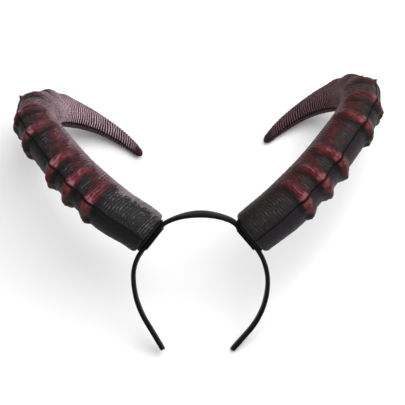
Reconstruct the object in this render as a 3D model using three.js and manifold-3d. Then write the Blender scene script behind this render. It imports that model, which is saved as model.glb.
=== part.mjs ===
// Costume headband with two large curled horns. Lengths are in millimetres, angles in degrees.
// The piece is modelled upright (X to the wearer's left and right, Y to the back, Z up, zero at the
// middle of the band's crown), then laid on its back on the ground plane z = 0.
import * as THREE from 'three';
import { mergeVertices } from 'three/addons/utils/BufferGeometryUtils.js';
import Module from 'manifold-3d';

// Headband: a plastic strip wrapped in satin, bent into an open hoop
const bandOuterHalfWidth = 65;
const crownWidth = 15;
const templeWidth = 13;
const armWidth = 9;
const bandThickness = 3.2;
const bandEdgeChamfer = 0.8;
const crownRadius = bandOuterHalfWidth * 1.026;
const shoulderRadius = bandOuterHalfWidth * 0.277;

// Seats: the flat stretches of the band that carry the horns, and what is glued on them
const padRadius = 18.3;
const padThickness = 2;
const patchLength = 25;
const patchWidth = 13;
const patchThickness = 1.3;
const patchCorner = 1.5;
const glueGap = 0.3;

// Horns: two moulded foam shells each, glued along a seam
const hornLength = 346.5;
const hornRadius = 23.4;
const hornWall = 3;
const baseEdgeRadius = 4.2;
const hornSpin = -9.5;
const sagReach = 36;
const seamGap = 0.3;
const ridgeFoot = 7;
const ridgeShoulder = 10;
const ridgeSweep = 4.5;
const crestHold = 0.3;
const flankDip = 2;
const flank = { from: 5, full: 50, hold: 110, to: 165 };

// Facet steps
const arcStep = 9;
const hornStep = 9.5;
const leastStep = 0.5;
const cavityStep = 15;
const halfSides = 12;
const cavitySides = 14;
const padSides = 28;
const spineSteps = 200;
const tipStart = 0.7;
const armEndTurns = [0, 30, 52, 70];

// How the two sides differ: the crown's bend up to the seat's shoulder, the seat's slope above the
// horizontal and lean to the back, how far down its flat the horn sits as a share of padRadius, how
// far the horn sags from square on its seat, how much shorter its base is cut and how far its ridges
// sit towards the base as shares of hornLength, how full its curl is, and the bends of the hoop's
// arm, its lengths as shares of bandOuterHalfWidth
const sides = [
  {
    name: 'left', sign: -1, crownBend: 28, seatSlope: 37, seatLean: 12, seatSetback: 0.683,
    sag: 6.3, baseTrim: 0, ridgeDrop: 0.023, curl: 1, templeRadius: 0.692,
    armRadius: 1.462, armBend: 28.7, armStraight: 0.508,
  },
  {
    name: 'right', sign: 1, crownBend: 24, seatSlope: 39.5, seatLean: 5.5, seatSetback: 0.847,
    sag: 2.2, baseTrim: 0.0245, ridgeDrop: 0, curl: 0.97, templeRadius: 0.923,
    armRadius: 1.215, armBend: 39, armStraight: 0.385,
  },
];

// Horn curl: place along the horn as a share of its length, bend of the centreline from the base,
// radius as a share of hornRadius, and turn of the seam round the horn
const hornForm = [
  { along: 0.00, bend: 0.0, girth: 0.94, seam: 4.0 },
  { along: 0.04, bend: 1.0, girth: 0.955, seam: 4.5 },
  { along: 0.18, bend: 17.0, girth: 1.00, seam: 7.5 },
  { along: 0.32, bend: 33.5, girth: 0.96, seam: 10.0 },
  { along: 0.44, bend: 39.5, girth: 0.93, seam: 12.5 },
  { along: 0.53, bend: 62.0, girth: 0.90, seam: 13.0 },
  { along: 0.63, bend: 102.5, girth: 0.86, seam: 12.5 },
  { along: 0.73, bend: 138.0, girth: 0.66, seam: 11.5 },
  { along: 0.79, bend: 154.0, girth: 0.525, seam: 11.0 },
  { along: 0.855, bend: 171.0, girth: 0.40, seam: 10.5 },
  { along: 0.92, bend: 188.5, girth: 0.31, seam: 9.5 },
  { along: 0.97, bend: 203.0, girth: 0.215, seam: 9.0 },
  { along: 0.99, bend: 208.5, girth: 0.16, seam: 9.0 },
  { along: 1.00, bend: 211.0, girth: 0.06, seam: 9.0 },
];

// Ridges from the base up: place along the seam, rise as a share of hornRadius, and how far round
// from the outer seam the crest reaches on the medial and on the lateral side
const ridges = [
  { along: 0.180, rise: 0.20, medial: 95, lateral: 165 },
  { along: 0.244, rise: 0.22, medial: 95, lateral: 165 },
  { along: 0.313, rise: 0.22, medial: 95, lateral: 165 },
  { along: 0.447, rise: 0.20, medial: 105, lateral: 160 },
  { along: 0.522, rise: 0.15, medial: 110, lateral: 150 },
  { along: 0.602, rise: 0.11, medial: 120, lateral: 140 },
  { along: 0.665, rise: 0.08, medial: 120, lateral: 140 },
  { along: 0.720, rise: 0.05, medial: 120, lateral: 140 },
];

const finishes = {
  medial: { color: 0x6b5058, roughness: 0.62, metalness: 0 },
  lateral: { color: 0x3c2b2e, roughness: 0.58, metalness: 0 },
  satin: { color: 0x26242a, roughness: 0.4, metalness: 0 },
  felt: { color: 0x161518, roughness: 0.92, metalness: 0 },
};

const wasm = await Module();
wasm.setup();

const rad = THREE.MathUtils.degToRad;
const smoothstep = THREE.MathUtils.smoothstep;

// Solid and geometry helpers

function signedVolume(points, triangles) {
  let sum = 0;
  for (const [a, b, c] of triangles) {
    sum += points[a].dot(new THREE.Vector3().crossVectors(points[b], points[c]));
  }
  return sum / 6;
}

// Closed skin through rings with equal numbers of points; the first and last ring are filled
function loft(rings) {
  const count = rings[0].length;
  const points = rings.flat();
  const triangles = [];
  for (let ring = 0; ring + 1 < rings.length; ring += 1) {
    for (let side = 0; side < count; side += 1) {
      const a = ring * count + side;
      const b = ring * count + ((side + 1) % count);
      triangles.push([a, b, b + count], [a, b + count, a + count]);
    }
  }
  const last = (rings.length - 1) * count;
  for (let side = 1; side + 1 < count; side += 1) {
    triangles.push([0, side + 1, side], [last, last + side, last + side + 1]);
  }
  const inward = signedVolume(points, triangles) < 0;
  const geometry = new THREE.BufferGeometry();
  const flat = points.flatMap((point) => point.toArray());
  geometry.setAttribute('position', new THREE.Float32BufferAttribute(flat, 3));
  geometry.setIndex(triangles.flatMap(([a, b, c]) => (inward ? [a, c, b] : [a, b, c])));
  return geometry;
}

function toSolid(geometry) {
  const bare = geometry.clone();
  bare.deleteAttribute('normal');
  bare.deleteAttribute('uv');
  const merged = mergeVertices(bare, 1e-4);
  return new wasm.Manifold(new wasm.Mesh({
    numProp: 3,
    vertProperties: new Float32Array(merged.attributes.position.array),
    triVerts: new Uint32Array(merged.index.array),
  }));
}

function toGeometry(solid) {
  const mesh = solid.getMesh();
  const geometry = new THREE.BufferGeometry();
  geometry.setAttribute('position', new THREE.BufferAttribute(mesh.vertProperties, 3));
  geometry.setIndex(new THREE.BufferAttribute(mesh.triVerts, 1));
  return geometry;
}

function namedMesh(name, geometry, finish) {
  geometry.computeVertexNormals();
  const mesh = new THREE.Mesh(geometry, new THREE.MeshStandardMaterial(finish));
  mesh.name = name;
  return mesh;
}

// Smooth value of one column of a table at a place along it, without overshoot between its rows
function columnAt(rows, column, along) {
  const steps = rows.slice(1).map((row, i) => (row[column] - rows[i][column]) / (row.along - rows[i].along));
  const slopeAt = (i) => {
    const before = steps[Math.max(i - 1, 0)];
    const after = steps[Math.min(i, steps.length - 1)];
    return before * after > 0 ? (2 * before * after) / (before + after) : 0;
  };
  const next = rows.findIndex((row) => row.along >= along);
  const i = next < 0 ? steps.length - 1 : Math.max(next - 1, 0);
  const span = rows[i + 1].along - rows[i].along;
  const t = THREE.MathUtils.clamp((along - rows[i].along) / span, 0, 1);
  const rise = t * t * (3 - 2 * t);
  const leave = t * (1 - t) * (1 - t) * span * slopeAt(i);
  const arrive = t * t * (1 - t) * span * slopeAt(i + 1);
  return rows[i][column] * (1 - rise) + rows[i + 1][column] * rise + leave - arrive;
}

// Headband

// Stations of one half of the hoop, from the crown's middle to the arm's end. Each has its place
// out from the middle and up, the strip's slope below the horizontal, its twist and its width
function bandStations(side) {
  const seatPitch = 90 - side.seatSlope;
  const stations = [{ out: 0, up: 0, pitch: 0, twist: 0, width: crownWidth }];
  const last = () => stations[stations.length - 1];

  function bendTo(pitch, radius, twist, width) {
    const from = last();
    const steps = Math.ceil((pitch - from.pitch) / arcStep);
    for (let step = 1; step <= steps; step += 1) {
      const done = step / steps;
      const now = from.pitch + (pitch - from.pitch) * done;
      stations.push({
        out: from.out + radius * (Math.sin(rad(now)) - Math.sin(rad(from.pitch))),
        up: from.up - radius * (Math.cos(rad(from.pitch)) - Math.cos(rad(now))),
        pitch: now,
        twist: from.twist + (twist - from.twist) * smoothstep(done, 0, 1),
        width: from.width + (width - from.width) * done,
      });
    }
  }

  function runStraight(length, width) {
    const { out, up, pitch, twist } = last();
    stations.push({
      out: out + length * Math.cos(rad(pitch)),
      up: up - length * Math.sin(rad(pitch)),
      pitch,
      twist,
      width,
    });
  }

  bendTo(side.crownBend, crownRadius, side.seatLean, crownWidth);
  bendTo(seatPitch, shoulderRadius, side.seatLean, crownWidth);
  const seatStart = last();
  const reach = bandOuterHalfWidth - bandThickness / 2;
  const templeRadius = side.templeRadius * bandOuterHalfWidth;
  const templeOut = templeRadius * (1 - Math.sin(rad(seatPitch)));
  runStraight((reach - templeOut - seatStart.out) / Math.cos(rad(seatPitch)), crownWidth);
  bendTo(90, templeRadius, 0, templeWidth);
  bendTo(90 + side.armBend, side.armRadius * bandOuterHalfWidth, 0, armWidth);
  const endRound = armWidth / 2;
  runStraight(side.armStraight * bandOuterHalfWidth - endRound, armWidth);
  for (const [i, turn] of armEndTurns.slice(1).entries()) {
    const length = endRound * (Math.sin(rad(turn)) - Math.sin(rad(armEndTurns[i])));
    runStraight(length, armWidth * Math.cos(rad(turn)));
  }
  return { stations, seatStart };
}

// Directions of a twisted strip: along it, out of its outer face, and across it to the back
function stripAxes(side, pitch, twist) {
  const p = rad(pitch);
  const t = rad(twist);
  const along = new THREE.Vector3(side.sign * Math.cos(p), 0, -Math.sin(p));
  const square = new THREE.Vector3(side.sign * Math.sin(p), 0, Math.cos(p));
  const back = new THREE.Vector3(0, 1, 0);
  const outward = square.clone().multiplyScalar(Math.cos(t)).addScaledVector(back, Math.sin(t));
  const across = back.clone().multiplyScalar(Math.cos(t)).addScaledVector(square, -Math.sin(t));
  return { along, outward, across };
}

function stripRing(side, station) {
  const { outward, across } = stripAxes(side, station.pitch, station.twist);
  const centre = new THREE.Vector3(side.sign * station.out, 0, station.up);
  const thick = bandThickness / 2;
  const wide = station.width / 2;
  const cut = bandEdgeChamfer;
  const outline = [
    [thick, wide - cut], [thick - cut, wide], [cut - thick, wide], [-thick, wide - cut],
    [-thick, cut - wide], [cut - thick, -wide], [thick - cut, -wide], [thick, cut - wide],
  ];
  return outline.map(([off, wideways]) => (
    centre.clone().addScaledVector(outward, off).addScaledVector(across, wideways)
  ));
}

function headband(left, right) {
  const leftRings = left.band.stations.map((station) => stripRing(left.side, station));
  const rightRings = right.band.stations.map((station) => stripRing(right.side, station));
  const rings = [...leftRings.reverse(), ...rightRings.slice(1)];
  return namedMesh('headband', loft(rings), finishes.satin);
}

// Seats

// Frame on the band's middle line at a horn's seat: where it is, and which way its faces look
function seatFrame(side, seatStart) {
  const axes = stripAxes(side, 90 - side.seatSlope, side.seatLean);
  const point = new THREE.Vector3(side.sign * seatStart.out, 0, seatStart.up);
  point.addScaledVector(axes.along, side.seatSetback * padRadius);
  return { ...axes, point };
}

// Turns a geometry made along its own Z so that Z points along `up` and X along `ahead`
function placeOn(geometry, origin, up, ahead) {
  const third = new THREE.Vector3().crossVectors(up, ahead);
  geometry.applyMatrix4(new THREE.Matrix4().makeBasis(ahead, third, up));
  return geometry.translate(origin.x, origin.y, origin.z);
}

function basePad(side, seat) {
  const disc = new THREE.CylinderGeometry(padRadius, padRadius, padThickness, padSides);
  disc.rotateX(Math.PI / 2);
  const lift = bandThickness / 2 + glueGap + padThickness / 2;
  const origin = seat.point.clone().addScaledVector(seat.outward, lift);
  return namedMesh(`base_pad_${side.name}`, placeOn(disc, origin, seat.outward, seat.along), finishes.felt);
}

function bandPatch(side, seat) {
  const x = patchLength / 2;
  const y = patchWidth / 2;
  const outline = new THREE.Shape();
  outline.moveTo(x, patchCorner - y);
  outline.lineTo(x, y - patchCorner).lineTo(x - patchCorner, y).lineTo(patchCorner - x, y);
  outline.lineTo(-x, y - patchCorner).lineTo(-x, patchCorner - y);
  outline.lineTo(patchCorner - x, -y).lineTo(x - patchCorner, -y);
  const strip = new THREE.ExtrudeGeometry(outline, { depth: patchThickness, bevelEnabled: false });
  const drop = bandThickness / 2 + glueGap;
  const origin = seat.point.clone().addScaledVector(seat.outward, -drop);
  const inward = seat.outward.clone().negate();
  return namedMesh(`band_patch_${side.name}`, placeOn(strip, origin, inward, seat.along), finishes.felt);
}

// Horns

// Centreline of a horn in its own frame, Z out of the seat and X the way it curls. The shorter horn
// starts further up the same curl
function hornSpine(side) {
  const start = side.baseTrim;
  const length = ((1 - start) * hornLength) / spineSteps;
  const bendAt = (share) => (
    rad(side.curl * (columnAt(hornForm, 'bend', share) - columnAt(hornForm, 'bend', start)))
  );
  const points = [new THREE.Vector3()];
  for (let step = 0; step < spineSteps; step += 1) {
    const bend = bendAt(start + ((1 - start) * (step + 0.5)) / spineSteps);
    const heading = new THREE.Vector3(Math.sin(bend), 0, Math.cos(bend));
    points.push(points[step].clone().addScaledVector(heading, length));
  }
  const pointAt = (share) => {
    const place = THREE.MathUtils.clamp((share - start) / (1 - start), 0, 1) * spineSteps;
    const step = Math.min(Math.floor(place), spineSteps - 1);
    return points[step].clone().lerp(points[step + 1], place - step);
  };
  const ridgeAt = (ridge) => ridge.along - side.ridgeDrop * (1 - ridge.along);
  return { start, bendAt, pointAt, ridgeAt };
}

// Radius of the plain horn, with the base's rounded edge
function plainRadius(spine, share) {
  const full = hornRadius * columnAt(hornForm, 'girth', share);
  const inset = Math.max(baseEdgeRadius - (share - spine.start) * hornLength, 0);
  return full - baseEdgeRadius + Math.sqrt(baseEdgeRadius ** 2 - inset ** 2);
}

// Height that the ridges add at an angle from the outer seam, and the dip of the lateral flank
// between them; lateral is 1, medial -1. On the medial side the ridges sweep back to the base
function ridgeHeight(spine, share, angle, half) {
  const sweep = half > 0 ? 0 : ridgeSweep * (1 - Math.cos(rad(angle)));
  let height = 0;
  for (const ridge of ridges) {
    const past = (share - spine.ridgeAt(ridge)) * hornLength + sweep;
    const reach = half > 0 ? ridge.lateral : ridge.medial;
    const fade = 1 - smoothstep(angle, reach * crestHold, reach);
    const profile = past < 0 ? smoothstep(past, -ridgeFoot, 0) : 1 - smoothstep(past, 0, ridgeShoulder);
    height = Math.max(height, ridge.rise * hornRadius * fade * profile);
  }
  if (half < 0) {
    return height;
  }
  const first = spine.ridgeAt(ridges[0]) * hornLength;
  const last = spine.ridgeAt(ridges[ridges.length - 1]) * hornLength;
  const place = share * hornLength;
  const starting = smoothstep(place, first - ridgeShoulder, first);
  const ending = smoothstep(place, last - ridgeShoulder, last + ridgeShoulder);
  const aside = smoothstep(angle, flank.from, flank.full) * (1 - smoothstep(angle, flank.hold, flank.to));
  return height - flankDip * starting * (1 - ending) * aside;
}

// Directions across the horn at a place along it: to the inner seam, and to the lateral side
function crossAxes(spine, share) {
  const bend = spine.bendAt(share);
  const seam = rad(columnAt(hornForm, 'seam', share));
  const curlward = new THREE.Vector3(Math.cos(bend), 0, -Math.sin(bend));
  const lateral = new THREE.Vector3(0, 1, 0);
  const inner = curlward.clone().multiplyScalar(Math.cos(seam)).addScaledVector(lateral, Math.sin(seam));
  const aside = lateral.clone().multiplyScalar(Math.cos(seam)).addScaledVector(curlward, -Math.sin(seam));
  return { inner, aside };
}

// One half-round section of a horn, its flat side on the seam
function halfRing(spine, share, half) {
  const { inner, aside } = crossAxes(spine, share);
  const centre = spine.pointAt(share);
  const ring = [];
  for (let side = 0; side <= halfSides; side += 1) {
    const angle = (180 * side) / halfSides;
    const radius = plainRadius(spine, share) + ridgeHeight(spine, share, angle, half);
    const clear = Math.max(radius * Math.sin(rad(angle)), seamGap / 2);
    ring.push(centre.clone()
      .addScaledVector(inner, -radius * Math.cos(rad(angle)))
      .addScaledVector(aside, half * clear));
  }
  return ring;
}

// Places of the sections: the base's edge, each ridge's foot, crest and shoulder, and even steps between
function hornStations(spine) {
  const edge = [0, 30, 60, 90].map((turn) => (
    spine.start * hornLength + baseEdgeRadius * (1 - Math.cos(rad(turn)))
  ));
  const folds = ridges.flatMap((ridge) => {
    const crest = spine.ridgeAt(ridge) * hornLength;
    return [crest - ridgeFoot - ridgeSweep / 2, crest - (ridgeFoot + ridgeSweep) / 2, crest - ridgeSweep / 3,
      crest + ridgeShoulder / 3];
  });
  const tip = hornForm.filter((row) => row.along > tipStart).map((row) => row.along * hornLength);
  const fixed = [...edge, ...folds, ...tip].sort((a, b) => a - b);
  const places = [fixed[0]];
  for (const place of fixed.slice(1)) {
    const from = places[places.length - 1];
    const gap = place - from;
    const parts = gap < leastStep ? 0 : Math.ceil(gap / hornStep);
    for (let part = 1; part <= parts; part += 1) {
      places.push(from + (gap * part) / parts);
    }
  }
  return places.map((place) => place / hornLength);
}

// Hollow inside both halves, ending where the tip becomes too thin for it
function hornCavity(spine, put) {
  const rings = [];
  const thinnest = hornWall / 2;
  for (let place = spine.start * hornLength + hornWall; place < hornLength; place += cavityStep) {
    const share = place / hornLength;
    const radius = plainRadius(spine, share) - hornWall;
    if (radius < thinnest) {
      break;
    }
    const { inner, aside } = crossAxes(spine, share);
    const centre = spine.pointAt(share);
    rings.push(Array.from({ length: cavitySides }, (_, side) => {
      const angle = (2 * Math.PI * (side + 0.5)) / cavitySides;
      return put(centre.clone()
        .addScaledVector(inner, radius * Math.cos(angle))
        .addScaledVector(aside, radius * Math.sin(angle)));
    }));
  }
  return toSolid(loft(rings));
}

// Frame in which a horn stands on its seat: its base's middle, and the ways it points, curls and faces
function hornFrame(side, seat) {
  const foot = bandThickness / 2 + glueGap + padThickness + glueGap;
  const base = seat.point.clone().addScaledVector(seat.outward, foot);
  const back = new THREE.Vector3(0, 1, 0);
  back.addScaledVector(seat.outward, -back.dot(seat.outward)).normalize();
  const outside = new THREE.Vector3().crossVectors(seat.outward, back).multiplyScalar(-side.sign);
  const spin = rad(hornSpin);
  const curl = back.clone().multiplyScalar(Math.cos(spin)).addScaledVector(outside, Math.sin(spin));
  const aside = outside.clone().multiplyScalar(Math.cos(spin)).addScaledVector(back, -Math.sin(spin));
  return { base, curl, aside };
}

// Bends the soft horn down from its seat over the first stretch of its base
function sagPoint(point, side, seat, base) {
  const offset = point.clone().sub(base);
  const height = offset.dot(seat.outward);
  const turn = rad(side.sag) * smoothstep(height, 0, sagReach);
  const axis = new THREE.Vector3().crossVectors(seat.outward, seat.along);
  return offset.applyAxisAngle(axis, turn).add(base);
}

// Both half shells of one horn on its seat; the right horn is the left one mirrored
function hornHalves(side, seat) {
  const spine = hornSpine(side);
  const { base, curl, aside } = hornFrame(side, seat);
  const place = new THREE.Matrix4().makeBasis(curl, aside, seat.outward).setPosition(base);
  const put = (point) => sagPoint(point.applyMatrix4(place), side, seat, base);
  const cavity = hornCavity(spine, put);
  const stations = hornStations(spine);
  return [{ name: 'medial', half: -1 }, { name: 'lateral', half: 1 }].map(({ name, half }) => {
    const rings = stations.map((share) => halfRing(spine, share, half).map(put));
    const shell = toGeometry(toSolid(loft(rings)).subtract(cavity));
    return namedMesh(`horn_${side.name}_${name}_half`, shell, finishes[name]);
  });
}

// Resting place

function lowest(meshes, turn) {
  const best = new THREE.Vector3(0, 0, Infinity);
  const point = new THREE.Vector3();
  for (const mesh of meshes) {
    const positions = mesh.geometry.attributes.position;
    for (let i = 0; i < positions.count; i += 1) {
      point.fromBufferAttribute(positions, i).applyQuaternion(turn);
      if (point.z < best.z) {
        best.copy(point);
      }
    }
  }
  return best;
}

// Lays the headpiece on its back, on both horns' curls and the lower arm's end, the wearer's side to
// side along X and the hoop's ends towards -Y; its box is centred on the origin and stands on z = 0
function layOnBack(group) {
  const part = (word) => group.children.filter((mesh) => mesh.name.includes(word));
  const turn = new THREE.Quaternion().setFromAxisAngle(new THREE.Vector3(1, 0, 0), -Math.PI / 2);
  for (let pass = 0; pass < 25; pass += 1) {
    const left = lowest(part('horn_left'), turn);
    const right = lowest(part('horn_right'), turn);
    const arm = lowest(part('headband'), turn);
    const roll = Math.atan2(right.z - left.z, right.x - left.x);
    const hornsZ = (left.z + right.z) / 2;
    const hornsY = (left.y + right.y) / 2;
    const pitch = Math.atan2(arm.z - hornsZ, hornsY - arm.y);
    turn.premultiply(new THREE.Quaternion().setFromAxisAngle(new THREE.Vector3(0, 1, 0), roll));
    turn.premultiply(new THREE.Quaternion().setFromAxisAngle(new THREE.Vector3(1, 0, 0), pitch));
  }
  const across = new THREE.Vector3(1, 0, 0).applyQuaternion(turn);
  const yaw = Math.atan2(across.y, across.x);
  turn.premultiply(new THREE.Quaternion().setFromAxisAngle(new THREE.Vector3(0, 0, 1), -yaw));
  group.quaternion.copy(turn);
  group.updateMatrixWorld(true);
  const box = new THREE.Box3().setFromObject(group, true);
  const centre = box.getCenter(new THREE.Vector3());
  group.position.set(-centre.x, -centre.y, -box.min.z);
  return group;
}

const headpiece = new THREE.Group();
const [left, right] = sides.map((side) => ({ side, band: bandStations(side) }));
headpiece.add(headband(left, right));
for (const { side, band } of [left, right]) {
  const seat = seatFrame(side, band.seatStart);
  headpiece.add(basePad(side, seat), bandPatch(side, seat), ...hornHalves(side, seat));
}

export default layOnBack(headpiece);
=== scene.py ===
# Devil horn headband: a satin-wrapped hoop that carries two curled, ridged horns of moulded foam.
# Lengths are in metres.
import bpy
import bmesh
import math
from mathutils import Matrix, Quaternion, Vector, noise


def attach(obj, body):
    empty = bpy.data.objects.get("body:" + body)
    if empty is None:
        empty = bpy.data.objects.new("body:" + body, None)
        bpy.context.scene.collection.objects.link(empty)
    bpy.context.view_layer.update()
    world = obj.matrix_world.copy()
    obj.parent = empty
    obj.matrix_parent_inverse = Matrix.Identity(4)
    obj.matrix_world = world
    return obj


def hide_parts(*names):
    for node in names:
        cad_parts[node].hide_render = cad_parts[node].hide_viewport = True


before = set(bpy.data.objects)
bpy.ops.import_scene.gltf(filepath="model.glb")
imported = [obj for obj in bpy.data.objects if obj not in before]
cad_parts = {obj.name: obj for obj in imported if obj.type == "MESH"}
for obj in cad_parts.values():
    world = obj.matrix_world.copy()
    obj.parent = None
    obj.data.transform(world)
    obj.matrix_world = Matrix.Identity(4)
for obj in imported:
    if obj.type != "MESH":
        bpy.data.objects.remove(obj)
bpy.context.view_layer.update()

# Resting place
# The headpiece's own upright frame has X to its right, Y to its back and Z up, zero at the middle
# of the crown. It lies on its back on both curls and one arm's end, turned and moved by these.
rest_turn = Quaternion((0.9241227, -0.3795574, 0.0406732, 0.0167054))
rest_place = Vector((0.0060319, -0.0382383, 0.1020828))
rest = Matrix.Translation(rest_place) @ rest_turn.to_matrix().to_4x4()

# Camera
# Looks at the front of the upright frame from a little above the crown's level.
view_angle = math.radians(18)
view_distance = 1.3
view_aim = Vector((0.0018, 0.0225, 0.0039))
look_back = Vector((0, -math.cos(view_angle), math.sin(view_angle)))
look_up = Vector((0, math.sin(view_angle), math.cos(view_angle)))
camera_turn = Matrix((Vector((1, 0, 0)), look_up, look_back)).transposed().to_4x4()
camera = bpy.data.objects.new("camera", bpy.data.cameras.new("camera"))
camera.data.lens = 122.4
camera.data.clip_end = 20
camera.matrix_world = rest @ Matrix.Translation(view_aim + look_back * view_distance) @ camera_turn
bpy.context.scene.collection.objects.link(camera)
bpy.context.scene.camera = camera
bpy.context.scene.view_settings.view_transform = "Standard"

# Floor
# A plain, pale, matt floor; nothing stands on it but the headpiece.
floor_size = 6
floor_form = bmesh.new()
bmesh.ops.create_grid(floor_form, x_segments=2, y_segments=2, size=floor_size / 2)
floor_mesh = bpy.data.meshes.new("floor")
floor_form.to_mesh(floor_mesh)
floor_form.free()
floor = bpy.data.objects.new("floor", floor_mesh)
bpy.context.scene.collection.objects.link(floor)
floor_paint = bpy.data.materials.new("floor_paint")
floor_paint.use_nodes = True
floor_shader = floor_paint.node_tree.nodes["Principled BSDF"]
floor_shader.inputs["Base Color"].default_value = (0.9, 0.9, 0.895, 1)
floor_shader.inputs["Roughness"].default_value = 0.9
floor_shader.inputs["Specular IOR Level"].default_value = 0.1
floor_mesh.materials.append(floor_paint)

# Light
# Soft studio light: a wide panel over the front, a fill from each side, and a pale room.
room = bpy.data.worlds.new("room")
room.use_nodes = True
room.node_tree.nodes["Background"].inputs["Color"].default_value = (0.98, 0.98, 1, 1)
room.node_tree.nodes["Background"].inputs["Strength"].default_value = 0.45
bpy.context.scene.world = room
light_aim = Vector((0, 0, -0.015))


def panel(name, place, size, power):
    """A square light panel at a place in the upright frame, facing the headpiece."""
    light = bpy.data.lights.new(name, "AREA")
    light.size = size
    light.energy = power
    lamp = bpy.data.objects.new(name, light)
    spot = rest @ Vector(place)
    lamp.location = spot
    lamp.rotation_mode = "QUATERNION"
    lamp.rotation_quaternion = (rest @ light_aim - spot).to_track_quat("-Z", "Y")
    bpy.context.scene.collection.objects.link(lamp)


panel("top_panel", (0.4, -0.6, 0.95), 1.3, 20)
panel("left_panel", (-0.8, -1.2, 0.5), 1.6, 4)
panel("right_panel", (1.0, -1.0, 0.3), 1.6, 4)

# Hoop
# A sprung plastic strip wrapped in black satin, glued down inside; it narrows towards its ends.
band_outer_half_width = 0.065
crown_width = 0.015
temple_width = 0.013
arm_width = 0.009
band_thickness = 0.0032
crown_radius = band_outer_half_width * 1.026
shoulder_radius = band_outer_half_width * 0.277
satin_crown = 0.0007
satin_rumple = 0.00012
satin_relief = 0.00006
edge_squareness = 0.35
face_squareness = 0.5
bend_step = 2
seat_steps = 8
arm_steps = 10
least_end_width = 0.0004
hoop_sides = 40
pad_radius = 0.0183

# Bends in degrees; the arm's lengths as shares of the hoop's half width, seat_setback as a share of
# the pad's radius, base_trim and ridge_drop as shares of the horn's length
left_side = {
    "name": "left", "sign": -1, "crown_bend": 28, "seat_slope": 37, "seat_lean": 12,
    "seat_setback": 0.683, "sag": 6.3, "base_trim": 0, "ridge_drop": 0.023, "curl": 1,
    "temple_radius": 0.692, "arm_radius": 1.462, "arm_bend": 28.7, "arm_straight": 0.508,
}
right_side = {
    "name": "right", "sign": 1, "crown_bend": 24, "seat_slope": 39.5, "seat_lean": 5.5,
    "seat_setback": 0.847, "sag": 2.2, "base_trim": 0.0245, "ridge_drop": 0, "curl": 0.97,
    "temple_radius": 0.923, "arm_radius": 1.215, "arm_bend": 39, "arm_straight": 0.385,
}


def sin(degrees):
    return math.sin(math.radians(degrees))


def cos(degrees):
    return math.cos(math.radians(degrees))


def ease(value, low, high):
    """Smooth step from 0 at low to 1 at high."""
    t = min(max((value - low) / (high - low), 0), 1)
    return t * t * (3 - 2 * t)


def half_hoop(side):
    """Stations from the crown's middle to the arm's end: out, up, pitch, twist and width."""
    seat_pitch = 90 - side["seat_slope"]
    rows = [(0, 0, 0, 0, crown_width)]

    def bend_to(pitch, radius, twist, width):
        out, up, pitch0, twist0, width0 = rows[-1]
        steps = math.ceil((pitch - pitch0) / bend_step)
        for step in range(1, steps + 1):
            done = step / steps
            now = pitch0 + (pitch - pitch0) * done
            rows.append((
                out + radius * (sin(now) - sin(pitch0)),
                up - radius * (cos(pitch0) - cos(now)),
                now,
                twist0 + (twist - twist0) * ease(done, 0, 1),
                width0 + (width - width0) * done,
            ))

    def run_straight(length, width, steps=1):
        for step in range(steps):
            out, up, pitch, twist, _ = rows[-1]
            part = length / steps
            rows.append((out + part * cos(pitch), up - part * sin(pitch), pitch, twist, width))

    bend_to(side["crown_bend"], crown_radius, side["seat_lean"], crown_width)
    bend_to(seat_pitch, shoulder_radius, side["seat_lean"], crown_width)
    seat_start = rows[-1]
    reach = band_outer_half_width - band_thickness / 2
    temple_radius = side["temple_radius"] * band_outer_half_width
    temple_out = temple_radius * (1 - sin(seat_pitch))
    run_straight((reach - temple_out - seat_start[0]) / cos(seat_pitch), crown_width, seat_steps)
    bend_to(90, temple_radius, 0, temple_width)
    bend_to(90 + side["arm_bend"], side["arm_radius"] * band_outer_half_width, 0, arm_width)
    end_round = arm_width / 2
    run_straight(side["arm_straight"] * band_outer_half_width - end_round, arm_width, arm_steps)

    # The arm ends in a half round
    turns = range(0, 91, 15)
    for before, turn in zip(turns, turns[1:]):
        end_width = max(arm_width * cos(turn), least_end_width)
        run_straight(end_round * (sin(turn) - sin(before)), end_width)
    return rows, seat_start


def strip_axes(side, pitch, twist):
    """Directions of a twisted strip: along it, out of its outer face, and across to the back."""
    along = Vector((side["sign"] * cos(pitch), 0, -sin(pitch)))
    square = Vector((side["sign"] * sin(pitch), 0, cos(pitch)))
    back = Vector((0, 1, 0))
    return along, square * cos(twist) + back * sin(twist), back * cos(twist) - square * sin(twist)


def woven_piece(name, rows, columns, place, marks=()):
    """A grid of rows by columns whose points go where place(row, column) says, as (point, uv,
    mark values). Its edges that meet are merged."""
    form = bmesh.new()
    bmesh.ops.create_grid(form, x_segments=columns, y_segments=rows, size=1)
    uv_layer = form.loops.layers.uv.new("UVMap")
    mark_layers = [form.verts.layers.float.new(mark) for mark in marks]
    spots = {}
    for vert in form.verts:
        column = round((vert.co.x + 1) / 2 * columns)
        row = round((vert.co.y + 1) / 2 * rows)
        point, spot, values = place(row, column)
        spots[vert.index] = spot
        vert.co = rest @ point
        for layer, value in zip(mark_layers, values):
            vert[layer] = value
    for face in form.faces:
        for loop in face.loops:
            loop[uv_layer].uv = spots[loop.vert.index]
    bmesh.ops.remove_doubles(form, verts=form.verts, dist=0.00001)
    bmesh.ops.recalc_face_normals(form, faces=form.faces)
    mesh = bpy.data.meshes.new(name)
    form.to_mesh(mesh)
    form.free()
    mesh.polygons.foreach_set("use_smooth", [True] * len(mesh.polygons))
    piece = bpy.data.objects.new(name, mesh)
    bpy.context.scene.collection.objects.link(piece)
    return piece


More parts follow.
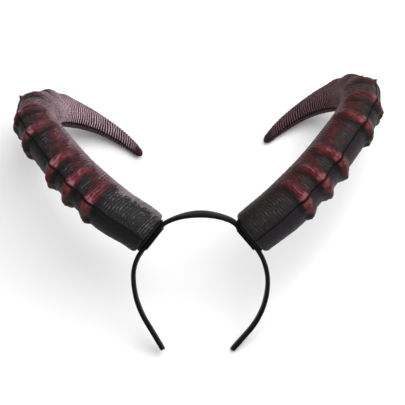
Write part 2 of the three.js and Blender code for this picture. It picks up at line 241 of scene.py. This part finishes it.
left_rows, left_seat = half_hoop(left_side)
right_rows, right_seat = half_hoop(right_side)
hoop_rows = [(left_side, row) for row in reversed(left_rows)]
hoop_rows += [(right_side, row) for row in right_rows[1:]]
hoop_run = [0]
for (side0, row0), (side1, row1) in zip(hoop_rows, hoop_rows[1:]):
    step = math.hypot(side1["sign"] * row1[0] - side0["sign"] * row0[0], row1[1] - row0[1])
    hoop_run.append(hoop_run[-1] + step)


def hoop_point(row, column):
    """A point of the strip's rounded, slightly crowned section; its UV map runs in metres."""
    side, (out, up, pitch, twist, width) = hoop_rows[row]
    _, outward, across = strip_axes(side, pitch, twist)
    turn = 360 * column / hoop_sides
    wide = math.copysign(abs(cos(turn)) ** edge_squareness, cos(turn)) * width / 2
    thick = math.copysign(abs(sin(turn)) ** face_squareness, sin(turn)) * band_thickness / 2
    rumple = noise.noise(Vector((hoop_run[row] * 60, turn / 40, 0))) * satin_rumple
    centre = Vector((side["sign"] * out, 0, up))
    bulge = satin_crown * (1 - (2 * wide / width) ** 2)
    lift = thick + math.copysign(bulge + rumple, thick)
    across_hoop = wide / width if thick >= 0 else 1 - wide / width
    return centre + outward * lift + across * wide, (across_hoop * width, hoop_run[row]), ()


def node(tree, kind, inputs=None, **settings):
    """A new shader node with its settings and inputs; an input is a value or another's output."""
    made = tree.nodes.new(kind)
    for key, value in settings.items():
        setattr(made, key, value)
    for key, value in (inputs or {}).items():
        if isinstance(value, bpy.types.NodeSocket):
            tree.links.new(value, made.inputs[key])
        else:
            made.inputs[key].default_value = value
    return made


def maths(tree, operation, first, second=0.0, third=0.0):
    made = node(tree, "ShaderNodeMath", {0: first, 1: second, 2: third}, operation=operation)
    return made.outputs[0]


def between(tree, value, low, high):
    """Smooth 0 to 1 as value goes from low to high."""
    made = node(tree, "ShaderNodeMapRange", {"Value": value, "From Min": low, "From Max": high},
                interpolation_type="SMOOTHSTEP")
    return made.outputs["Result"]


def blended(tree, factor, first, second):
    made = node(tree, "ShaderNodeMix", {0: factor, 6: first, 7: second}, data_type="RGBA")
    return made.outputs[2]


def own_place(tree, scale):
    """The piece's own UV map, in metres, times a scale for each direction."""
    spot = node(tree, "ShaderNodeUVMap", uv_map="UVMap")
    made = node(tree, "ShaderNodeVectorMath", {0: spot.outputs["UV"], 1: scale}, operation="MULTIPLY")
    return made.outputs[0]


def new_group(name, sockets_in, sockets_out):
    """A node group with the named inputs and outputs; returns it with its two end nodes."""
    group = bpy.data.node_groups.new(name, "ShaderNodeTree")
    for label, kind in sockets_in:
        group.interface.new_socket(label, in_out="INPUT", socket_type=kind)
    for label, kind in sockets_out:
        group.interface.new_socket(label, in_out="OUTPUT", socket_type=kind)
    return group, group.nodes.new("NodeGroupInput"), group.nodes.new("NodeGroupOutput")


def new_material(name, roughness):
    material = bpy.data.materials.new(name)
    material.use_nodes = True
    shader = material.node_tree.nodes["Principled BSDF"]
    shader.inputs["Roughness"].default_value = roughness
    return material, material.node_tree, shader


def bumped(tree, shader, height, depth):
    """Gives the shader a relief; depth is in metres."""
    made = node(tree, "ShaderNodeBump", {"Height": height, "Distance": depth, "Strength": 1.0})
    tree.links.new(made.outputs["Normal"], shader.inputs["Normal"])


# Black satin: fine threads along the strip, and a gloss that varies from place to place
satin, satin_tree, satin_shader = new_material("black_satin", 0.38)
satin_thread = node(satin_tree, "ShaderNodeTexNoise", {
    "Vector": own_place(satin_tree, (5200, 700, 1)), "Scale": 1.0, "Detail": 2.0}).outputs[0]
satin_patch = node(satin_tree, "ShaderNodeTexNoise", {
    "Vector": own_place(satin_tree, (160, 60, 1)), "Scale": 1.0, "Detail": 2.0}).outputs[0]
satin_tone = blended(satin_tree, between(satin_tree, satin_thread, 0.35, 0.7),
                     (0.0015, 0.0014, 0.002, 1), (0.006, 0.0055, 0.009, 1))
satin_tree.links.new(satin_tone, satin_shader.inputs["Base Color"])
satin_gloss = maths(satin_tree, "MULTIPLY_ADD", satin_patch, 0.25, 0.4)
satin_tree.links.new(satin_gloss, satin_shader.inputs["Roughness"])
satin_shader.inputs["Specular IOR Level"].default_value = 0.07
bumped(satin_tree, satin_shader, satin_thread, satin_relief)

hoop = woven_piece("satin_hoop", len(hoop_rows) - 1, hoop_sides, hoop_point)
hoop.data.materials.append(satin)
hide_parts("headband")
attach(hoop, "root")

# Base pads
# A round black felt pad between the hoop and each horn's base, glued to both.
pad_thickness = 0.002
glue_gap = 0.0003
pad_edge = 0.0007
pad_roughness = 0.012
pad_columns = 72
felt_relief = 0.0002

# Black felt: a matt coat of fine fuzz
felt, felt_tree, felt_shader = new_material("black_felt", 0.95)
felt_place = node(felt_tree, "ShaderNodeTexCoord").outputs["Object"]
felt_fuzz = node(felt_tree, "ShaderNodeTexNoise", {
    "Vector": felt_place, "Scale": 1800.0, "Detail": 5.0, "Roughness": 0.65}).outputs[0]
felt_tone = blended(felt_tree, between(felt_tree, felt_fuzz, 0.35, 0.7),
                    (0.003, 0.003, 0.0032, 1), (0.014, 0.013, 0.014, 1))
felt_tree.links.new(felt_tone, felt_shader.inputs["Base Color"])
felt_shader.inputs["Specular IOR Level"].default_value = 0.1
bumped(felt_tree, felt_shader, felt_fuzz, felt_relief)


def seat_of(side, seat_start):
    """Middle of a horn's seat on the hoop's middle line, and the strip's directions there."""
    along, outward, across = strip_axes(side, 90 - side["seat_slope"], side["seat_lean"])
    start = Vector((side["sign"] * seat_start[0], 0, seat_start[1]))
    point = start + along * (side["seat_setback"] * pad_radius)
    return {"point": point, "along": along, "outward": outward, "across": across}


def round_pad(name, seat, start, radius, thickness):
    """A closed felt disc whose underside is start above the seat."""
    profile = [(0, 0), (radius * 0.4, 0), (radius * 0.75, 0), (radius - pad_edge, 0)]
    for turn in (30, 60, 90):
        profile.append((radius - pad_edge * (1 - sin(turn)), pad_edge * (1 - cos(turn))))
    profile += [(r, thickness - z) for r, z in reversed(profile)]

    def place(row, column):
        r, z = profile[row]
        turn = 360 * column / pad_columns
        rough = 1 + pad_roughness * noise.noise(Vector((cos(turn) * 4, sin(turn) * 4, z * 900)))
        side_step = seat["along"] * (r * rough * cos(turn)) + seat["across"] * (r * rough * sin(turn))
        point = seat["point"] + side_step + seat["outward"] * (start + z)
        return point, (r * cos(turn), r * sin(turn)), ()

    return woven_piece(name, len(profile) - 1, pad_columns, place)


def dress(piece, material, cad_node):
    """Gives a piece its material, and puts it in its solid's place."""
    piece.data.materials.append(material)
    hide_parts(cad_node)
    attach(piece, "root")


seats = {}
for side, seat_start in ((left_side, left_seat), (right_side, right_seat)):
    seats[side["name"]] = seat_of(side, seat_start)
    pad = round_pad(f"base_pad_{side['name']}_felt", seats[side["name"]],
                    band_thickness / 2 + glue_gap, pad_radius, pad_thickness)
    dress(pad, felt, f"base_pad_{side['name']}")

# Band patches
# A thin black felt patch inside the hoop under each seat, with snipped corners, glued on.
patch_length = 0.025
patch_width = 0.013
patch_thickness = 0.0013
patch_corner = 0.0015
patch_edge = 0.0003

for side in (left_side, right_side):
    seat = seats[side["name"]]
    patch_form = bmesh.new()
    turned = Matrix((seat["along"], seat["across"], -seat["outward"])).transposed().to_4x4()
    drop = band_thickness / 2 + glue_gap + patch_thickness / 2
    spot = Matrix.Translation(seat["point"] - seat["outward"] * drop)
    size = Matrix.Diagonal((patch_length, patch_width, patch_thickness, 1))
    bmesh.ops.create_cube(patch_form, size=1, matrix=size)
    upright = [e for e in patch_form.edges if abs(e.verts[0].co.z - e.verts[1].co.z) > 0.0001]
    bmesh.ops.bevel(patch_form, geom=upright, offset=patch_corner, segments=2, profile=0.5,
                    affect="EDGES", material=-1)
    rims = [e for e in patch_form.edges if abs(e.verts[0].co.z - e.verts[1].co.z) < 0.00001]
    bmesh.ops.bevel(patch_form, geom=rims, offset=patch_edge, segments=2, profile=0.5,
                    affect="EDGES", material=-1)
    bmesh.ops.transform(patch_form, matrix=rest @ spot @ turned, verts=patch_form.verts)
    bmesh.ops.recalc_face_normals(patch_form, faces=patch_form.faces)
    patch_mesh = bpy.data.meshes.new(f"band_patch_{side['name']}_felt")
    patch_form.to_mesh(patch_mesh)
    patch_form.free()
    patch = bpy.data.objects.new(patch_mesh.name, patch_mesh)
    bpy.context.scene.collection.objects.link(patch)
    dress(patch, felt, f"band_patch_{side['name']}")

# Horns
# Each horn is two half shells of moulded, painted foam, glued along an open seam on the outside and
# the inside of its curl. Thick ridges cross the outer side, fine grooves the part behind the tip.
horn_length = 0.3465
horn_radius = 0.0234
horn_wall = 0.003
base_edge_radius = 0.0042
horn_spin = -9.5
sag_reach = 0.036
seam_gap = 0.0003
ridge_foot = 0.007
ridge_shoulder = 0.010
ridge_sweep = 0.0045
crest_hold = 0.3
ridge_waver = 0.0026
ridge_swell = 0.35
fold_width = 0.0045
flash_ridges = (0.602, 0.665)
flash_width = 0.002
flash_height = 0.003
flank_dip = 0.002
groove_pitch = 0.0031
groove_depth = 0.0009
groove_sweep = 0.006
groove_waver = 0.0009
bark_pitch = 0.0026
bark_depth = 0.0004
bark_sweep = 0.004
skin_roughness = 0.0003
lip_roughness = 0.0006
seam_roughness = 0.00016
foam_relief = 0.0006
outer_columns = 60
wall_columns = 2
inner_columns = 10
horn_rows = 900

# Place along the horn as a share of its length, bend of its centreline from the base in degrees,
# radius as a share of horn_radius, and turn of the seam round the horn in degrees
horn_form = [
    (0.00, 0.0, 0.94, 4.0), (0.04, 1.0, 0.955, 4.5), (0.18, 17.0, 1.00, 7.5),
    (0.32, 33.5, 0.96, 10.0), (0.44, 39.5, 0.93, 12.5), (0.53, 62.0, 0.90, 13.0),
    (0.63, 102.5, 0.86, 12.5), (0.73, 138.0, 0.66, 11.5), (0.79, 154.0, 0.525, 11.0),
    (0.855, 171.0, 0.40, 10.5), (0.92, 188.5, 0.31, 9.5), (0.97, 203.0, 0.215, 9.0),
    (0.99, 208.5, 0.16, 9.0), (1.00, 211.0, 0.06, 9.0),
]
bend_column, girth_column, seam_column = 1, 2, 3

# Place along the seam, rise as a share of horn_radius, and how far round from the outer seam the
# crest reaches on the medial and on the lateral side, in degrees
ridges = [
    (0.180, 0.20, 95, 165), (0.244, 0.22, 95, 165), (0.313, 0.22, 95, 165), (0.447, 0.20, 105, 160),
    (0.522, 0.15, 110, 150), (0.602, 0.11, 120, 140), (0.665, 0.08, 120, 140), (0.720, 0.05, 120, 140),
]

# What the mesh carries at each point for the paint: its place along and round the horn, the ridges'
# height, their folds, and the count and strength of the grooves and of the bark lines
skin_marks = ("along", "round", "crest", "fold", "groove", "groove_part", "bark", "bark_part")


def column_at(rows, column, along):
    """Smooth value of one column of a table at a place, without overshoot between its rows."""
    steps = [(b[column] - a[column]) / (b[0] - a[0]) for a, b in zip(rows, rows[1:])]

    def slope_at(i):
        before, after = steps[max(i - 1, 0)], steps[min(i, len(steps) - 1)]
        return 2 * before * after / (before + after) if before * after > 0 else 0

    i = next((k - 1 for k, row in enumerate(rows) if row[0] >= along), len(steps) - 1)
    i = max(i, 0)
    span = rows[i + 1][0] - rows[i][0]
    t = min(max((along - rows[i][0]) / span, 0), 1)
    rise = t * t * (3 - 2 * t)
    leave = t * (1 - t) * (1 - t) * span * slope_at(i)
    arrive = t * t * (1 - t) * span * slope_at(i + 1)
    return rows[i][column] * (1 - rise) + rows[i + 1][column] * rise + leave - arrive


def horn_spine(side, shares):
    """Centreline points and bends at the shares, in the horn's own frame: Z out of the seat, X the
    way it curls."""
    first_bend = column_at(horn_form, bend_column, side["base_trim"])

    def bend_at(share):
        return side["curl"] * (column_at(horn_form, bend_column, share) - first_bend)

    points = [Vector((0, 0, 0))]
    for before, after in zip(shares, shares[1:]):
        bend = bend_at((before + after) / 2)
        points.append(points[-1] + Vector((sin(bend), 0, cos(bend))) * ((after - before) * horn_length))
    return points, [bend_at(share) for share in shares]


def plain_radius(start, share):
    """Radius of the horn without its ridges; its base, at start, has a rounded edge."""
    full = horn_radius * column_at(horn_form, girth_column, share)
    inset = max(base_edge_radius - (share - start) * horn_length, 0)
    return full - base_edge_radius + math.sqrt(max(base_edge_radius ** 2 - inset ** 2, 0))


def ridge_place(side, ridge):
    """Distance of a ridge's crest from the base along the horn."""
    return (ridge[0] - side["ridge_drop"] * (1 - ridge[0])) * horn_length


def ridge_height(side, place, angle, half):
    """Height of the thick ridges less the dip of the lateral flank, and how near the point is to
    the fold at a ridge's foot. On the medial side the ridges sweep back to the base; their crests
    waver and swell a little, and two of them carry a fin of moulding flash at the seam."""
    sweep = 0 if half > 0 else ridge_sweep * (1 - cos(angle))
    waver = ridge_waver * noise.noise(Vector((place * 25, angle / 22, half * 3))) * ease(angle, 0, 25)
    swell = 1 + ridge_swell * noise.noise(Vector((place * 45, angle / 18, 5 + half)))
    height = fold = 0
    for ridge in ridges:
        along, rise, medial, lateral = ridge
        past = place - ridge_place(side, ridge) + sweep + waver
        if -ridge_foot - fold_width < past < ridge_shoulder:
            reach = lateral if half > 0 else medial
            fade = 1 - ease(angle, reach * crest_hold, reach)
            profile = ease(past, -ridge_foot, 0) if past < 0 else 1 - ease(past, 0, ridge_shoulder)
            height = max(height, rise * horn_radius * fade * profile * swell)
            fold = max(fold, fade * (1 - min(abs(past + ridge_foot * 0.85) / fold_width, 1)))
            if along in flash_ridges:
                fin = (1 - min(abs(past) / flash_width, 1)) * (1 - ease(angle, 0, 6))
                height += flash_height * fin
    if half < 0:
        return height, fold
    first, last = ridge_place(side, ridges[0]), ridge_place(side, ridges[-1])
    ridged = ease(place, first - ridge_shoulder, first)
    ridged *= 1 - ease(place, last - ridge_shoulder, last + ridge_shoulder)
    aside = ease(angle, 5, 50) * (1 - ease(angle, 110, 165))
    return height - flank_dip * ridged * aside, fold


def cross_grooves(share, angle, half):
    """Count and strength of the fine grooves that cross the curl and the part behind the tip."""
    wobble = noise.noise(Vector((share * 30, angle / 30, half * 9)))
    place = share * horn_length - groove_sweep * (1 - cos(angle * 0.8)) + groove_waver * wobble
    zone = 0.65 * ease(share, 0.49, 0.53) + 0.35 * ease(share, 0.6, 0.68)
    zone += 0.35 * ease(share, 0.1, 0.16) * (1 - ease(share, 0.45, 0.5)) * ease(angle, 35, 60)
    zone *= 1 - ease(share, 0.93, 0.99)
    middle = ease(angle, 85, 105) * (1 - ease(angle, 128, 142)) * (1 - ease(share, 0.62, 0.72))
    strength = zone * ease(angle, 3, 16) * (1 - 0.75 * middle) * (0.85 + 0.5 * wobble)
    return place / groove_pitch, max(strength, 0)


def bark_lines(share, angle, half):
    """Count and strength of the short bark lines across the base and the dips beside the seam."""
    place = share * horn_length + bark_sweep * (1 - cos(angle))
    patch = noise.noise(Vector((share * 38, angle / 11, 20 + half)))
    zone = (1 - ease(share, 0.5, 0.6)) * ease(angle, 5, 12) * (1 - ease(angle, 50, 85))
    bend = noise.noise(Vector((share * 140, angle / 14, 40))) * 0.4
    return place / bark_pitch + bend, zone * ease(patch, -0.4, 0.2) * (1 if half < 0 else 0.25)


def build_horn_half(name, side, seat, half):
    """One half shell of a horn on its seat: the medial one where half is -1, the lateral one at 1."""
    start = side["base_trim"]
    foot = band_thickness / 2 + glue_gap + pad_thickness + glue_gap
    base = seat["point"] + seat["outward"] * foot
    back = Vector((0, 1, 0))
    back = (back - seat["outward"] * back.dot(seat["outward"])).normalized()
    outside = seat["outward"].cross(back) * -side["sign"]
    curl = back * cos(horn_spin) + outside * sin(horn_spin)
    aside_axis = outside * cos(horn_spin) - back * sin(horn_spin)
    placing = Matrix((curl, aside_axis, seat["outward"])).transposed()
    sag_axis = seat["outward"].cross(seat["along"])

    # Sections: the flat base, its rounded edge, then even steps to the tip
    edge_rows = 8
    edge_turns = [90 * row / edge_rows for row in range(edge_rows + 1)]
    edge = [base_edge_radius * (1 - cos(turn)) / horn_length for turn in edge_turns]
    shares = [start] + [start + step for step in edge]
    even_rows = horn_rows - len(shares)
    edge_end = shares[-1]
    shares += [edge_end + (1 - edge_end) * row / even_rows for row in range(1, even_rows + 1)] + [1]
    last = len(shares) - 1
    spine, bends = horn_spine(side, shares)
    rings = []
    for share, bend in zip(shares, bends):
        seam = column_at(horn_form, seam_column, share)
        curlward = Vector((cos(bend), 0, -sin(bend)))
        lateral = Vector((0, 1, 0))
        inner = curlward * cos(seam) + lateral * sin(seam)
        aside = lateral * cos(seam) - curlward * sin(seam)
        radius = plain_radius(start, share)
        hollow = max(radius - horn_wall, 0.0002) if (share - start) * horn_length > horn_wall else 0
        rings.append((inner, aside, radius, hollow))
    ring_columns = outer_columns + wall_columns + inner_columns + wall_columns

    def outer_skin(share, radius, angle):
        """Distance of the outer skin from the centreline, and its ridge and line marks."""
        ridge, fold = ridge_height(side, share * horn_length, angle, half)
        groove, groove_part = cross_grooves(share, angle, half)
        bark, bark_part = bark_lines(share, angle, half)
        waves = [0.5 + 0.5 * math.cos(2 * math.pi * count) for count in (groove, bark)]
        skin = skin_roughness * noise.noise(Vector((share * 110, angle / 9, half * 5)))
        lip = lip_roughness * noise.noise(Vector((share * 260, half * 3, 7))) * (1 - ease(angle, 0, 9))
        thin = ease(radius, 0.001, 0.004)
        cut = groove_depth * groove_part * waves[0] ** 1.5 + bark_depth * bark_part * waves[1]
        relief = (skin + lip - cut) * thin
        return radius + ridge + relief, (ridge / horn_radius, fold, groove, groove_part, bark, bark_part)

    def place(row, column):
        """Round a section: the outer skin, the wall at the inner seam, the hollow, the outer seam."""
        share = shares[row]
        inner, aside, radius, hollow = rings[row]
        lines = (0,) * 6
        step = column - outer_columns
        if step <= 0 or column == ring_columns:
            angle = 180 * (column % ring_columns) / outer_columns
            out, lines = outer_skin(share, radius, angle)
        elif step <= wall_columns:
            angle = 180
            out = radius + (hollow - radius) * step / wall_columns
        elif step <= wall_columns + inner_columns:
            angle = 180 * (1 - (step - wall_columns) / inner_columns)
            out = hollow
        else:
            angle = 0
            out = hollow + (radius - hollow) * (step - wall_columns - inner_columns) / wall_columns
        if row in (0, last):
            out = 0
        rough = seam_roughness * (1 + noise.noise(Vector((share * 420, half * 2, 3))))
        clear = max(out * sin(angle), seam_gap / 2 + rough)
        point = spine[row] - inner * (out * cos(angle)) + aside * (half * clear)
        offset = placing @ point
        sagged = ease(offset.dot(seat["outward"]), 0, sag_reach)
        turn = Quaternion(sag_axis, math.radians(side["sag"]) * sagged)
        spot = (math.radians(angle) * radius, share * horn_length)
        return base + turn @ offset, spot, (share, angle / 180, *lines)

    return woven_piece(name, last, ring_columns, place, skin_marks)


def mark(tree, name):
    return node(tree, "ShaderNodeAttribute", attribute_name=name).outputs["Fac"]


# Painted foam: the shared look of the skins, laid out by the marks on the mesh
paint_colours = ("Charcoal", "Scratch", "Brown", "Mauve", "Pale", "Net", "Red", "Pink", "Groove", "Tip")
paint_values = ("Mauve Start", "Mauve Strength", "Top Start", "Red Strength", "Red Mottle")
paint_group, paint_in, paint_out = new_group(
    "painted_foam",
    [(label, "NodeSocketColor") for label in paint_colours]
    + [(label, "NodeSocketFloat") for label in paint_values],
    [("Base Color", "NodeSocketColor"), ("Roughness", "NodeSocketFloat"),
     ("Bump Height", "NodeSocketFloat")],
)
g = paint_group
ask = paint_in.outputs
along, round_, crest, fold, groove, groove_part, bark, bark_part = (mark(g, name) for name in skin_marks)


def noise_at(scale, detail, distortion=0.0):
    """Noise on the skin's own map; scale is in spots per metre, round and along the horn."""
    return node(g, "ShaderNodeTexNoise", {
        "Vector": own_place(g, scale), "Scale": 1.0, "Detail": detail, "Distortion": distortion}).outputs[0]


def times(*values):
    result = values[0]
    for value in values[1:]:
        result = maths(g, "MULTIPLY", result, value)
    return result


def without(value):
    return maths(g, "SUBTRACT", 1.0, value)


def stripes(count, low, high):
    """Lines that repeat with each whole count."""
    wave = maths(g, "COSINE", maths(g, "MULTIPLY", count, 2 * math.pi))
    return between(g, wave, low, high)


cloudy = noise_at((110, 110, 1), 4.0)
blotch = noise_at((260, 330, 1), 4.0)
flecks = noise_at((900, 1300, 1), 3.0)
strokes = noise_at((260, 1300, 1), 3.0, 0.5)
grain = noise_at((3000, 3000, 1), 2.0)
cells = node(g, "ShaderNodeTexVoronoi", {"Vector": own_place(g, (520, 700, 1)), "Scale": 1.0},
             feature="DISTANCE_TO_EDGE", voronoi_dimensions="2D").outputs["Distance"]
net_lines = times(without(between(g, cells, 0.02, 0.24)), between(g, cloudy, 0.3, 0.5))
jitter = maths(g, "MULTIPLY_ADD", cloudy, 0.4, maths(g, "MULTIPLY_ADD", blotch, 0.3, -0.35))
mixed_jitter = maths(g, "MULTIPLY_ADD", flecks, 0.3, maths(g, "ADD", jitter, -0.15))

# Dark base coat, with lighter bark lines in the dips beside the seam
bark_light = times(stripes(bark, 0.2, -0.8), bark_part, between(g, strokes, 0.36, 0.66))
bark_light = times(bark_light, between(g, blotch, 0.3, 0.6), 0.8)
dark = blended(g, maths(g, "MAXIMUM", bark_light, times(between(g, flecks, 0.52, 0.75), 0.35)),
               ask["Charcoal"], ask["Scratch"])
ridged = times(between(g, along, 0.13, 0.19), without(between(g, along, 0.5, 0.6)))
off_seam = between(g, maths(g, "ADD", round_, mixed_jitter), 0.1, 0.28)
coat = blended(g, times(ridged, off_seam, 0.85), dark, ask["Brown"])
red_mottle = times(ridged, off_seam, between(g, cloudy, 0.38, 0.66), ask["Red Mottle"])
coat = blended(g, red_mottle, coat, ask["Red"])

# Mauve side, from the inner seam outwards, and over the whole top of the curl
start = ask["Mauve Start"]
spread = between(g, maths(g, "ADD", round_, mixed_jitter), start, maths(g, "ADD", start, 0.2))
top_start = ask["Top Start"]
jittered_along = maths(g, "MULTIPLY_ADD", mixed_jitter, 0.2, along)
top = between(g, jittered_along, top_start, maths(g, "ADD", top_start, 0.07))
seam_distance = maths(g, "ADD", round_, jitter)
by_seam = times(without(between(g, seam_distance, 0.1, 0.5)), without(between(g, along, 0.68, 0.78)))
top = times(top, without(times(by_seam, 0.75)))
mauve_part = maths(g, "MAXIMUM", times(spread, ask["Mauve Strength"]), top)
mauve = blended(g, between(g, flecks, 0.35, 0.65), ask["Mauve"], ask["Pale"])
column = times(between(g, along, 0.05, 0.2), without(times(between(g, along, 0.58, 0.68), 0.8)))
mauve = blended(g, times(column, 0.6), mauve, ask["Net"])
# Painted highlight: near the base the mauve turns to the light scratch grey, as on the lit medial edge
base_highlight = times(without(between(g, along, 0.05, 0.22)), 0.85)
mauve = blended(g, base_highlight, mauve, ask["Scratch"])
pinkish = times(between(g, blotch, 0.45, 0.6), between(g, along, 0.2, 0.5), 0.4)
mauve = blended(g, pinkish, mauve, ask["Pink"])
# Painted shade: behind the tip the mauve darkens towards the outer seam, on the side turned from the light;
# the net lines' dark colour serves for it
tip_back_shade = times(between(g, along, 0.6, 0.7), without(between(g, seam_distance, 0.4, 0.75)))
mauve = blended(g, times(tip_back_shade, 0.5), mauve, ask["Net"])
coat = blended(g, mauve_part, coat, mauve)
net_part = times(net_lines, without(between(g, along, 0.6, 0.7)), mauve_part, 0.85)
coat = blended(g, net_part, coat, ask["Net"])

# Red crests with pink tops and seam ends painted as highlights, and painted shade in the folds at their
# feet
# Painted shade: the folds at the ridges' feet are coloured near black, as if in shadow
fold_shade_colour = (0.004, 0.004, 0.004, 1)
crest_spot = maths(g, "MULTIPLY_ADD", mixed_jitter, 0.12, crest)
shade = times(between(g, fold, 0.05, 0.8), between(g, blotch, 0.2, 0.45), 0.9)
coat = blended(g, shade, coat, fold_shade_colour)
worn = maths(g, "MULTIPLY_ADD", between(g, cloudy, 0.35, 0.55), 0.4, 0.6)
red_part = times(between(g, crest_spot, -0.005, 0.13), ask["Red Strength"], worn)
red = blended(g, between(g, crest_spot, 0.04, 0.14), ask["Brown"], ask["Red"])
coat = blended(g, red_part, coat, red)
# Painted highlight: pink on the tops of the crests, where the light falls on them
crest_highlight = times(between(g, crest_spot, 0.14, 0.24), between(g, blotch, 0.42, 0.62), 0.5)
coat = blended(g, crest_highlight, coat, ask["Pink"])
# Painted highlight: a pink glint on the crests just beside the outer seam
beside_seam = times(between(g, round_, 0.012, 0.03), without(between(g, round_, 0.05, 0.1)))
seam_glint = times(between(g, crest, 0.08, 0.15), beside_seam)
coat = blended(g, times(seam_glint, between(g, blotch, 0.35, 0.5), 0.7), coat, ask["Pink"])

# Fine dark grooves, dark seams and the dark smooth tip
seam_black = (0.004, 0.003, 0.003, 1)
groove_lines = times(stripes(maths(g, "MULTIPLY_ADD", flecks, 0.3, groove), -0.7, 0.2), groove_part)
coat = blended(g, maths(g, "MINIMUM", times(groove_lines, 2.0), 0.98), coat, ask["Groove"])
coat = blended(g, times(stripes(bark, 0.3, 0.9), bark_part, 0.8), coat, ask["Charcoal"])
outer_seam = times(without(between(g, round_, 0.003, 0.02)), 0.85)
inner_seam = times(between(g, round_, 0.955, 0.985), between(g, along, 0.6, 0.7))
coat = blended(g, inner_seam, coat, ask["Groove"])
coat = blended(g, outer_seam, coat, seam_black)
coat = blended(g, between(g, maths(g, "MULTIPLY_ADD", jitter, 0.05, along), 0.93, 0.985), coat, ask["Tip"])

# Uneven tone and gloss over all of it, and a fine relief
brightness = maths(g, "MULTIPLY_ADD", blotch, 0.9, 0.55)
tone = node(g, "ShaderNodeHueSaturation", {"Value": brightness, "Color": coat})
g.links.new(tone.outputs["Color"], paint_out.inputs["Base Color"])
g.links.new(maths(g, "MULTIPLY_ADD", blotch, 0.3, 0.34), paint_out.inputs["Roughness"])
relief = maths(g, "MULTIPLY_ADD", strokes, 0.3, maths(g, "MULTIPLY_ADD", flecks, 0.35, times(grain, 0.12)))
relief = maths(g, "SUBTRACT", relief, times(net_lines, mauve_part, 0.6))
relief = maths(g, "MULTIPLY_ADD", groove_lines, -0.9, relief)
g.links.new(relief, paint_out.inputs["Bump Height"])


def foam_material(name, gloss, **inputs):
    """Painted foam with its own values for the paint; an underscore stands for a space in their names."""
    material, tree, shader = new_material(name, 0.5)
    paint = node(tree, "ShaderNodeGroup", node_tree=paint_group)
    for key, value in inputs.items():
        socket = paint.inputs[key.replace("_", " ")]
        socket.default_value = value if isinstance(value, float) else (*value, 1)
    tree.links.new(paint.outputs["Base Color"], shader.inputs["Base Color"])
    tree.links.new(paint.outputs["Roughness"], shader.inputs["Roughness"])
    shader.inputs["Specular IOR Level"].default_value = gloss
    bumped(tree, shader, paint.outputs["Bump Height"], foam_relief)
    return material


# Lit and shaded copies of one paint: the left horn's paler medial half is painted light, the right horn's
# redder, darker one painted shade; the lateral halves are partly darker paint, partly painted shade
foams = {
    ("left", "medial"): foam_material(
        "left_medial_foam", 0.13, Charcoal=(0.007, 0.007, 0.008), Scratch=(0.12, 0.118, 0.117),
        Brown=(0.052, 0.013, 0.014), Mauve=(0.47, 0.31, 0.36), Pale=(0.9, 0.72, 0.8),
        Net=(0.03, 0.011, 0.014), Red=(0.105, 0.012, 0.015), Pink=(0.29, 0.12, 0.15),
        Groove=(0.02, 0.006, 0.008), Tip=(0.035, 0.010, 0.014), Mauve_Start=0.33,
        Mauve_Strength=1.0, Top_Start=0.47, Red_Strength=1.0, Red_Mottle=0.8),
    ("right", "medial"): foam_material(
        "right_medial_foam", 0.12, Charcoal=(0.0085, 0.0068, 0.0066), Scratch=(0.058, 0.052, 0.05),
        Brown=(0.042, 0.011, 0.011), Mauve=(0.098, 0.052, 0.060), Pale=(0.21, 0.13, 0.145),
        Net=(0.022, 0.008, 0.009), Red=(0.082, 0.008, 0.011), Pink=(0.21, 0.07, 0.08),
        Groove=(0.014, 0.004, 0.005), Tip=(0.024, 0.010, 0.011), Mauve_Start=0.45,
        Mauve_Strength=0.6, Top_Start=0.49, Red_Strength=1.0, Red_Mottle=0.8),
    ("left", "lateral"): foam_material(
        "left_lateral_foam", 0.07, Charcoal=(0.008, 0.0072, 0.0072), Scratch=(0.03, 0.026, 0.025),
        Brown=(0.018, 0.008, 0.007), Mauve=(0.07, 0.045, 0.05), Pale=(0.17, 0.125, 0.14),
        Net=(0.02, 0.008, 0.009), Red=(0.075, 0.011, 0.010), Pink=(0.12, 0.035, 0.035),
        Groove=(0.014, 0.004, 0.005), Tip=(0.025, 0.010, 0.012), Mauve_Start=0.85,
        Mauve_Strength=0.5, Top_Start=0.62, Red_Strength=0.9, Red_Mottle=0.3),
    ("right", "lateral"): foam_material(
        "right_lateral_foam", 0.08, Charcoal=(0.012, 0.009, 0.012), Scratch=(0.04, 0.033, 0.042),
        Brown=(0.018, 0.008, 0.007), Mauve=(0.05, 0.03, 0.034), Pale=(0.11, 0.075, 0.083),
        Net=(0.02, 0.008, 0.009), Red=(0.075, 0.010, 0.011), Pink=(0.14, 0.04, 0.04),
        Groove=(0.012, 0.004, 0.005), Tip=(0.022, 0.009, 0.011), Mauve_Start=0.85,
        Mauve_Strength=0.5, Top_Start=0.6, Red_Strength=0.9, Red_Mottle=0.3),
}
for side in (left_side, right_side):
    for half_name, half in (("medial", -1), ("lateral", 1)):
        solid = f"horn_{side['name']}_{half_name}_half"
        piece = build_horn_half(f"{solid}_foam", side, seats[side["name"]], half)
        dress(piece, foams[side["name"], half_name], solid)
